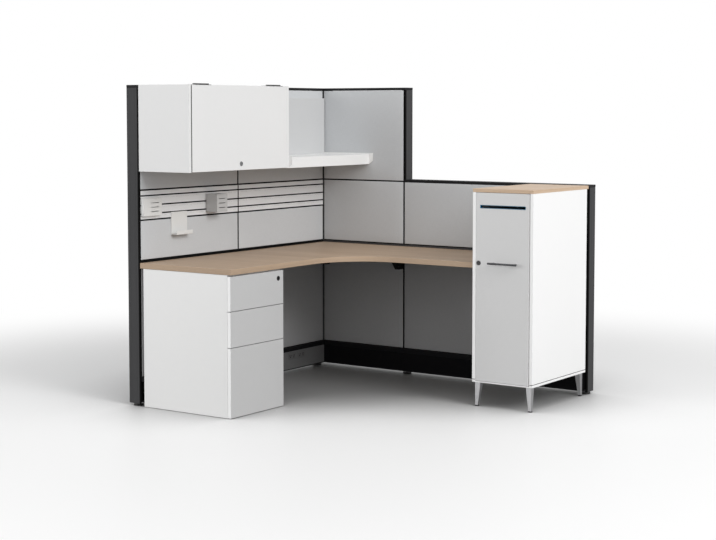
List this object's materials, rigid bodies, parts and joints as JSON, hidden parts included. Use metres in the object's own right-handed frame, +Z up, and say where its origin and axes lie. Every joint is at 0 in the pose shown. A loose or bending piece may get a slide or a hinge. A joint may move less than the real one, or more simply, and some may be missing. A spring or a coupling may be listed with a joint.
{
  "type": "cubicle workstation",
  "caption": "L-shaped office workstation with panel walls, oak worktop, drawer pedestal, overhead cabinet, open shelf, slatted accessory rail and slim storage tower.",
  "frame": {"origin": "centre of the footprint, on the floor", "axes": "+Z up; the left panel wall runs along Y at the low X side, the back wall runs along X at the high Y side, and the user sits on the -Y side"},
  "size_m": [1.82, 1.68, 1.6566],
  "materials": {
    "frame_black": "satin black",
    "trim_grey": "satin dark grey",
    "gasket_black": "matt black",
    "cap_black": "satin black",
    "tile_fabric": "light grey panel cloth",
    "tile_grey": "grey panel cloth",
    "slat_silver": "satin",
    "raceway_grey": "satin dark grey",
    "outlet_grey": "moulded",
    "glide_black": "moulded",
    "bracket_black": "satin black",
    "oak_laminate": "oak laminate",
    "cabinet_white": "white laminate board",
    "shelf_white": "white powder coat",
    "hinge_steel": "dark",
    "lock_chrome": "polished",
    "accessory_white": "moulded",
    "accessory_grey": "satin",
    "drawer_grey": "light grey laminate board",
    "drawer_steel": "grey",
    "runner_zinc": "zinc plated",
    "tray_black": "moulded",
    "door_grey": "light grey laminate board",
    "mail_liner": "dark teal",
    "handle_black": "satin",
    "bush_nylon": "nylon",
    "leg_silver": "satin"
  },
  "bodies": {
    "workstation": {"frame_left_front": "frame_black", "frame_left_rear": "frame_black", "frame_back_high": "frame_black", "frame_back_low": "frame_black", "corner_post": "trim_grey", "end_trims": "trim_grey", "edge_gaskets": "gasket_black", "top_cap_high": "cap_black", "top_cap_low": "cap_black", "upper_tiles": "tile_fabric", "desk_tiles": "tile_fabric", "outer_tiles": "tile_fabric", "under_desk_tiles": "tile_grey", "slat_rail_left_front": "slat_silver", "slat_rail_left_rear": "slat_silver", "raceway_rails": "frame_black", "raceway_covers": "raceway_grey", "raceway_covers_outer": "raceway_grey", "power_outlets": "outlet_grey", "levelling_glides": "glide_black", "panel_connectors": "bracket_black", "worktop": "oak_laminate", "worktop_brackets": "bracket_black", "overhead_case": "cabinet_white", "overhead_hooks": "bracket_black", "overhead_hinge_fixed": "hinge_steel", "shelf_pan": "shelf_white", "shelf_back": "cabinet_white", "shelf_brackets": "shelf_white", "pedestal_case": "cabinet_white", "runner_fixed": "runner_zinc", "tower_case": "cabinet_white", "tower_top": "oak_laminate", "tower_pivots": "hinge_steel", "tower_shelves": "cabinet_white", "tower_legs": "leg_silver"},
    "overhead_flap": {"overhead_door": "cabinet_white", "overhead_hinge_moving": "hinge_steel"},
    "overhead_key_lock": {"overhead_lock": "lock_chrome"},
    "drawer_top": {"drawer_front_top": "drawer_grey", "drawer_box_top": "drawer_steel", "pencil_tray": "tray_black"},
    "drawer_middle": {"drawer_front_middle": "drawer_grey", "drawer_box_middle": "drawer_steel"},
    "drawer_file": {"drawer_front_file": "drawer_grey", "drawer_box_file": "drawer_steel", "file_rails": "runner_zinc"},
    "slide_top": {"runner_mid_top": "runner_zinc"},
    "slide_middle": {"runner_mid_middle": "runner_zinc"},
    "slide_file": {"runner_mid_file": "runner_zinc"},
    "pedestal_key_lock": {"pedestal_lock": "lock_chrome"},
    "gang_bar": {"lock_bar": "runner_zinc"},
    "tower_flap": {"tower_door": "door_grey", "mail_slot": "mail_liner", "tower_handle": "handle_black", "tower_door_bushes": "bush_nylon"},
    "tower_key_lock": {"tower_lock": "lock_chrome"},
    "holder": {"message_holder": "accessory_white"},
    "ledge": {"tablet_ledge": "accessory_white"},
    "cup": {"pen_cup": "accessory_grey"}
  },
  "joints": [
    {"name": "overhead_door_swing", "type": "hinge", "parent": "workstation", "child": "overhead_flap", "pos_m": [-0.5115, -0.429, 1.6534], "axis": [0, -1, 0], "range_deg": [0, 90]},
    {"name": "overhead_lock_turn", "type": "hinge", "parent": "overhead_flap", "child": "overhead_key_lock", "pos_m": [-0.492, -0.429, 1.245], "axis": [-1, 0, 0], "range_deg": [0, 90]},
    {"name": "top_drawer_slide", "type": "slide", "parent": "workstation", "child": "drawer_top", "axis": [1, 0, 0], "range_m": [0, 0.45]},
    {"name": "middle_drawer_slide", "type": "slide", "parent": "workstation", "child": "drawer_middle", "axis": [1, 0, 0], "range_m": [0, 0.45]},
    {"name": "file_drawer_slide", "type": "slide", "parent": "workstation", "child": "drawer_file", "axis": [1, 0, 0], "range_m": [0, 0.45]},
    {"name": "top_runner_follow", "type": "slide", "parent": "workstation", "child": "slide_top", "axis": [1, 0, 0], "range_m": [0, 0.225]},
    {"name": "middle_runner_follow", "type": "slide", "parent": "workstation", "child": "slide_middle", "axis": [1, 0, 0], "range_m": [0, 0.225]},
    {"name": "file_runner_follow", "type": "slide", "parent": "workstation", "child": "slide_file", "axis": [1, 0, 0], "range_m": [0, 0.225]},
    {"name": "pedestal_lock_turn", "type": "hinge", "parent": "drawer_top", "child": "pedestal_key_lock", "pos_m": [-0.236, -0.452, 0.666], "axis": [1, 0, 0], "range_deg": [0, 90]},
    {"name": "gang_bar_lift", "type": "slide", "parent": "workstation", "child": "gang_bar", "axis": [0, 0, 1], "range_m": [0, 0.01]},
    {"name": "tower_door_swing", "type": "hinge", "parent": "workstation", "child": "tower_flap", "pos_m": [0.881, 0.154, 0.6], "axis": [0, 0, 1], "range_deg": [0, 95]},
    {"name": "tower_lock_turn", "type": "hinge", "parent": "tower_flap", "child": "tower_key_lock", "pos_m": [0.596, 0.145, 0.743], "axis": [0, -1, 0], "range_deg": [0, 90]},
    {"name": "message_holder_slide", "type": "slide", "parent": "workstation", "child": "holder", "axis": [0, 1, 0], "range_m": [0, 0.04]},
    {"name": "tablet_ledge_slide", "type": "slide", "parent": "workstation", "child": "ledge", "axis": [0, 1, 0], "range_m": [-0.04, 0.06]},
    {"name": "pen_cup_slide", "type": "slide", "parent": "workstation", "child": "cup", "axis": [0, 1, 0], "range_m": [-0.06, 0.15]}
  ],
  "couplings": [
    {"joint": "top_runner_follow", "follows": "top_drawer_slide", "ratio": 0.5},
    {"joint": "middle_runner_follow", "follows": "middle_drawer_slide", "ratio": 0.5},
    {"joint": "file_runner_follow", "follows": "file_drawer_slide", "ratio": 0.5},
    {"joint": "pedestal_lock_turn", "follows": "gang_bar_lift", "rad_per_m": 157.08}
  ]
}
